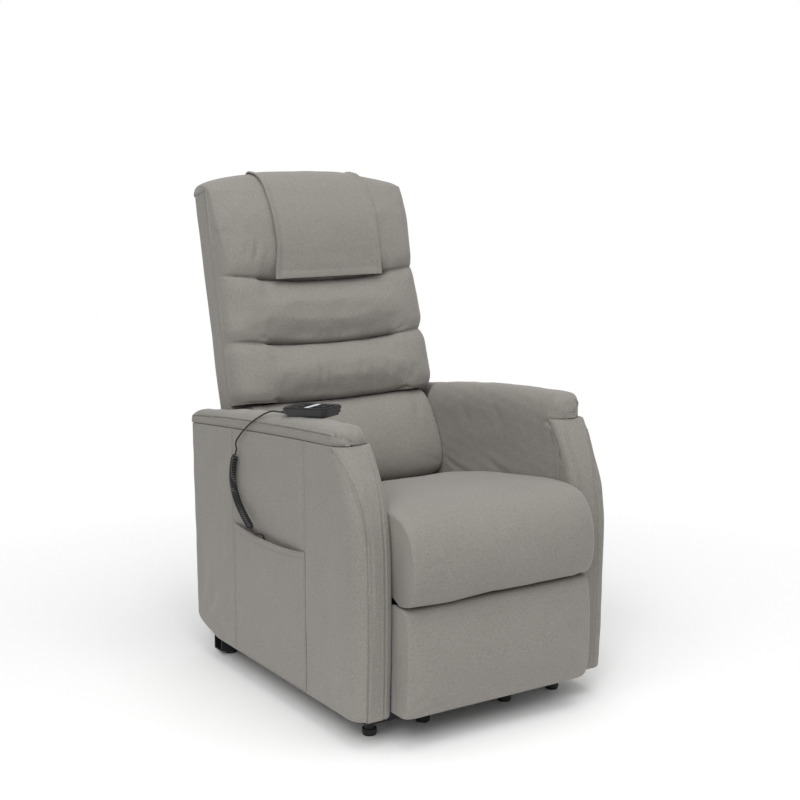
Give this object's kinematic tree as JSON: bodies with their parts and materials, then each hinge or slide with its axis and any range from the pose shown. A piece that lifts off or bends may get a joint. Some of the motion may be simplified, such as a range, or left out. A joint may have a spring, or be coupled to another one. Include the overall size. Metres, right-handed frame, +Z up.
{
  "type": "lift recliner chair",
  "caption": "Powered lift and recline armchair with padded back rest, seat and fold-out footrest on a steel lift frame, with a corded handset.",
  "frame": {"origin": "on the floor, under the middle of the chair", "axes": "+X to the sitter's left, -Y to the front, +Z up"},
  "size_m": [0.6618, 0.9189, 1.1555],
  "materials": {
    "cover_cloth": "soft grey-taupe upholstery cover over foam",
    "black_steel": "black powder coat",
    "bright_steel": "bright drawn push rod",
    "black_rubber": "matt black",
    "black_plastic": "fine grained black",
    "handset_shell": "satin black",
    "button_rubber": "matt grey",
    "cord_sheath": "satin black",
    "plywood": "bare sanded",
    "webbing": "woven elastic"
  },
  "bodies": {
    "base": {"base_side_rails": "black_steel", "base_front_tube": "black_steel", "base_rear_tube": "black_steel", "base_brackets": "black_steel", "front_feet": "black_rubber", "rear_feet": "black_rubber"},
    "lift_arm": {"lift_links": "black_steel", "lift_torque_tube": "black_steel"},
    "lift_stabiliser": {"stabiliser_links": "black_steel"},
    "lift_motor_body": {"lift_motor": "black_plastic"},
    "lift_rod_body": {"lift_rod": "bright_steel"},
    "carriage": {"seat_side_rails": "black_steel", "seat_cross_tubes": "black_steel", "seat_side_plates": "black_steel", "motor_hangers": "black_steel", "seat_slats": "plywood", "seat_front_board": "plywood", "control_box": "black_plastic", "arm_panel_right": "cover_cloth", "arm_panel_left": "cover_cloth", "arm_front_right": "cover_cloth", "arm_front_left": "cover_cloth", "inner_arm_right": "cover_cloth", "inner_arm_left": "cover_cloth", "arm_pad_right": "cover_cloth", "arm_pad_left": "cover_cloth", "side_pocket": "cover_cloth", "rear_panel": "cover_cloth", "seat_cushion": "cover_cloth", "handset_base": "handset_shell", "handset_top": "handset_shell", "strain_relief": "cord_sheath", "handset_lead": "cord_sheath", "curly_cord": "cord_sheath", "cord_tail": "cord_sheath"},
    "back": {"back_hinge_tube": "black_steel", "back_frame": "plywood", "back_straps": "webbing", "back_shell": "cover_cloth", "lumbar_roll": "cover_cloth", "middle_roll": "cover_cloth", "upper_roll": "cover_cloth", "head_roll": "cover_cloth", "head_cover": "cover_cloth"},
    "back_motor_body": {"back_motor": "black_plastic"},
    "back_rod_body": {"back_rod": "bright_steel"},
    "foot_swing": {"foot_swing_frame": "black_steel"},
    "foot_lift": {"foot_lift_links": "black_steel"},
    "foot_guide": {"foot_guide_links": "black_steel"},
    "footrest": {"footboard": "plywood", "footrest_pad": "cover_cloth"},
    "foot_motor_body": {"foot_motor": "black_plastic"},
    "foot_rod_body": {"foot_rod": "bright_steel"},
    "button_back_up_body": {"button_back_up": "button_rubber"},
    "button_back_down_body": {"button_back_down": "button_rubber"},
    "button_foot_up_body": {"button_foot_up": "button_rubber"},
    "button_foot_down_body": {"button_foot_down": "button_rubber"},
    "button_lift_up_body": {"button_lift_up": "button_rubber"},
    "button_lift_down_body": {"button_lift_down": "button_rubber"}
  },
  "joints": [
    {"name": "lift", "type": "hinge", "parent": "base", "child": "lift_arm", "pos_m": [0, -0.06, 0.095], "axis": [1, 0, 0], "range_deg": [0, 50]},
    {"name": "seat_tilt", "type": "hinge", "parent": "lift_arm", "child": "carriage", "pos_m": [0, 0.25, 0.13], "axis": [1, 0, 0], "range_deg": [-30, 0]},
    {"name": "stabiliser_swing", "type": "hinge", "parent": "base", "child": "lift_stabiliser", "pos_m": [0, -0.14, 0.0845], "axis": [1, 0, 0], "range_deg": [0, 58]},
    {"name": "lift_motor_swing", "type": "hinge", "parent": "base", "child": "lift_motor_body", "pos_m": [0, 0.268, 0.11], "axis": [1, 0, 0], "range_deg": [0, 7]},
    {"name": "lift_rod_slide", "type": "slide", "parent": "lift_motor_body", "child": "lift_rod_body", "axis": [0, -0.9908, 0.1352], "range_m": [0, 0.0384]},
    {"name": "back_recline", "type": "hinge", "parent": "carriage", "child": "back", "pos_m": [0, 0.225, 0.335], "axis": [-1, 0, 0], "range_deg": [0, 45]},
    {"name": "back_motor_swing", "type": "hinge", "parent": "carriage", "child": "back_motor_body", "pos_m": [0.095, -0.12, 0.215], "axis": [1, 0, 0], "range_deg": [0, 0.92]},
    {"name": "back_rod_slide", "type": "slide", "parent": "back_motor_body", "child": "back_rod_body", "axis": [0, 0.9892, 0.1464], "range_m": [-0.0534, 0]},
    {"name": "footrest_swing", "type": "hinge", "parent": "carriage", "child": "foot_swing", "pos_m": [0, -0.3, 0.262], "axis": [-1, 0, 0], "range_deg": [0, 80]},
    {"name": "foot_lift_turn", "type": "hinge", "parent": "foot_swing", "child": "foot_lift", "pos_m": [0, -0.29, 0.085], "axis": [-1, 0, 0], "range_deg": [-110, 0]},
    {"name": "foot_guide_turn", "type": "hinge", "parent": "foot_swing", "child": "foot_guide", "pos_m": [0, -0.29226, 0.12494], "axis": [-1, 0, 0], "range_deg": [-110, 0]},
    {"name": "footboard_turn", "type": "hinge", "parent": "foot_lift", "child": "footrest", "pos_m": [0, -0.365, 0.235], "axis": [-1, 0, 0], "range_deg": [0, 110]},
    {"name": "foot_motor_swing", "type": "hinge", "parent": "carriage", "child": "foot_motor_body", "pos_m": [-0.095, -0.02, 0.23], "axis": [1, 0, 0], "range_deg": [-3.08, 0]},
    {"name": "foot_rod_slide", "type": "slide", "parent": "foot_motor_body", "child": "foot_rod_body", "axis": [0, -0.9997, -0.0241], "range_m": [0, 0.0497]},
    {"name": "button_back_up_press", "type": "slide", "parent": "carriage", "child": "button_back_up_body", "axis": [0.0899, -0.0659, -0.9938], "range_m": [0, 0.0012], "stiffness_N_per_m": 400},
    {"name": "button_back_down_press", "type": "slide", "parent": "carriage", "child": "button_back_down_body", "axis": [0.0899, -0.0659, -0.9938], "range_m": [0, 0.0012], "stiffness_N_per_m": 400},
    {"name": "button_foot_up_press", "type": "slide", "parent": "carriage", "child": "button_foot_up_body", "axis": [0.0899, -0.0659, -0.9938], "range_m": [0, 0.0012], "stiffness_N_per_m": 400},
    {"name": "button_foot_down_press", "type": "slide", "parent": "carriage", "child": "button_foot_down_body", "axis": [0.0899, -0.0659, -0.9938], "range_m": [0, 0.0012], "stiffness_N_per_m": 400},
    {"name": "button_lift_up_press", "type": "slide", "parent": "carriage", "child": "button_lift_up_body", "axis": [0.0899, -0.0659, -0.9938], "range_m": [0, 0.0012], "stiffness_N_per_m": 400},
    {"name": "button_lift_down_press", "type": "slide", "parent": "carriage", "child": "button_lift_down_body", "axis": [0.0899, -0.0659, -0.9938], "range_m": [0, 0.0012], "stiffness_N_per_m": 400}
  ],
  "couplings": [
    {"joint": "seat_tilt", "follows": "lift", "ratio": -0.6},
    {"joint": "stabiliser_swing", "follows": "lift", "ratio": 1.16},
    {"joint": "lift_motor_swing", "follows": "lift", "ratio": 0.1388},
    {"joint": "lift_rod_slide", "follows": "lift", "m_per_rad": 0.043946},
    {"joint": "back_motor_swing", "follows": "back_recline", "ratio": 0.020222},
    {"joint": "back_rod_slide", "follows": "back_recline", "m_per_rad": -0.067864},
    {"joint": "foot_lift_turn", "follows": "footrest_swing", "ratio": -1.375},
    {"joint": "foot_guide_turn", "follows": "footrest_swing", "ratio": -1.375},
    {"joint": "footboard_turn", "follows": "footrest_swing", "ratio": 1.375},
    {"joint": "foot_motor_swing", "follows": "footrest_swing", "ratio": -0.038375},
    {"joint": "foot_rod_slide", "follows": "footrest_swing", "m_per_rad": 0.035509}
  ]
}
